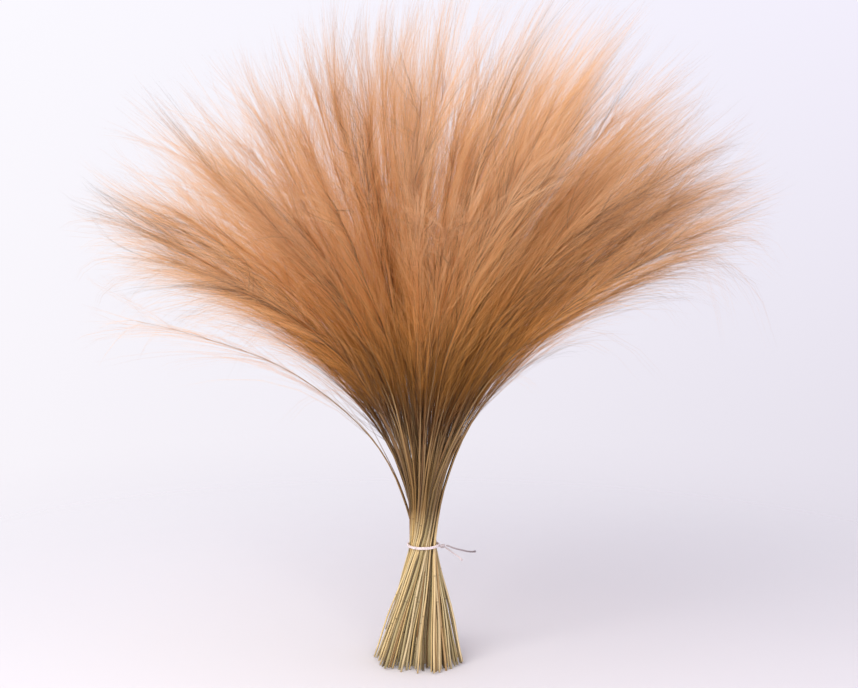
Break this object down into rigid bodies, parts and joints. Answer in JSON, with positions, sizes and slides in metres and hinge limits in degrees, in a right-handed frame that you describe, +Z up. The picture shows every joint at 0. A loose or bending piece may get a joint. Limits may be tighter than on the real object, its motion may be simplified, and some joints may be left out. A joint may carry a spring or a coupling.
{
  "type": "bundle of feather grass",
  "caption": "Tied sheaf of dried feather grass: bare straw stalks twisted at a twine tie, standing on flared cut ends under a wide round head of fine tan hair plumes.",
  "frame": {"origin": "on the floor, under the middle stalk's cut end, where the sheaf stands", "axes": "+Z up along the sheaf, +X to the side the string's knot and ends are on, -Y to the front"},
  "size_m": [0.5748, 0.5885, 0.5964],
  "materials": {
    "straw": "dry matt straw with a slight waxy sheen, yellow to olive",
    "plume_hair": "fine silky hair, peach tan, browner inside and greyer at the outside",
    "cotton_twine": "matt twisted cotton twine, off-white"
  },
  "bodies": {
    "root": {"stalks_01": "straw", "plume_01": "plume_hair", "stalks_02": "straw", "plume_02": "plume_hair", "stalks_03": "straw", "plume_03": "plume_hair", "stalks_04": "straw", "plume_04": "plume_hair", "stalks_05": "straw", "plume_05": "plume_hair", "stalks_06": "straw", "plume_06": "plume_hair", "stalks_07": "straw", "plume_07": "plume_hair", "stalks_08": "straw", "plume_08": "plume_hair", "stalks_09": "straw", "plume_09": "plume_hair", "stalks_10": "straw", "plume_10": "plume_hair", "stalks_11": "straw", "plume_11": "plume_hair", "stalks_12": "straw", "plume_12": "plume_hair", "stalks_13": "straw", "plume_13": "plume_hair", "stalks_14": "straw", "plume_14": "plume_hair", "stalks_15": "straw", "plume_15": "plume_hair", "stalks_16": "straw", "plume_16": "plume_hair", "stalks_17": "straw", "plume_17": "plume_hair", "stalks_18": "straw", "plume_18": "plume_hair", "stalks_19": "straw", "plume_19": "plume_hair", "stalks_20": "straw", "plume_20": "plume_hair", "stalks_21": "straw", "plume_21": "plume_hair", "stalks_22": "straw", "plume_22": "plume_hair", "stalks_23": "straw", "plume_23": "plume_hair", "stalks_24": "straw", "plume_24": "plume_hair", "stalks_25": "straw", "plume_25": "plume_hair", "stalks_26": "straw", "plume_26": "plume_hair", "stalks_27": "straw", "plume_27": "plume_hair", "stalks_28": "straw", "plume_28": "plume_hair", "string_loop": "cotton_twine", "string_knot": "cotton_twine", "string_tail_long": "cotton_twine", "string_tail_short": "cotton_twine"}
  },
  "joints": []
}
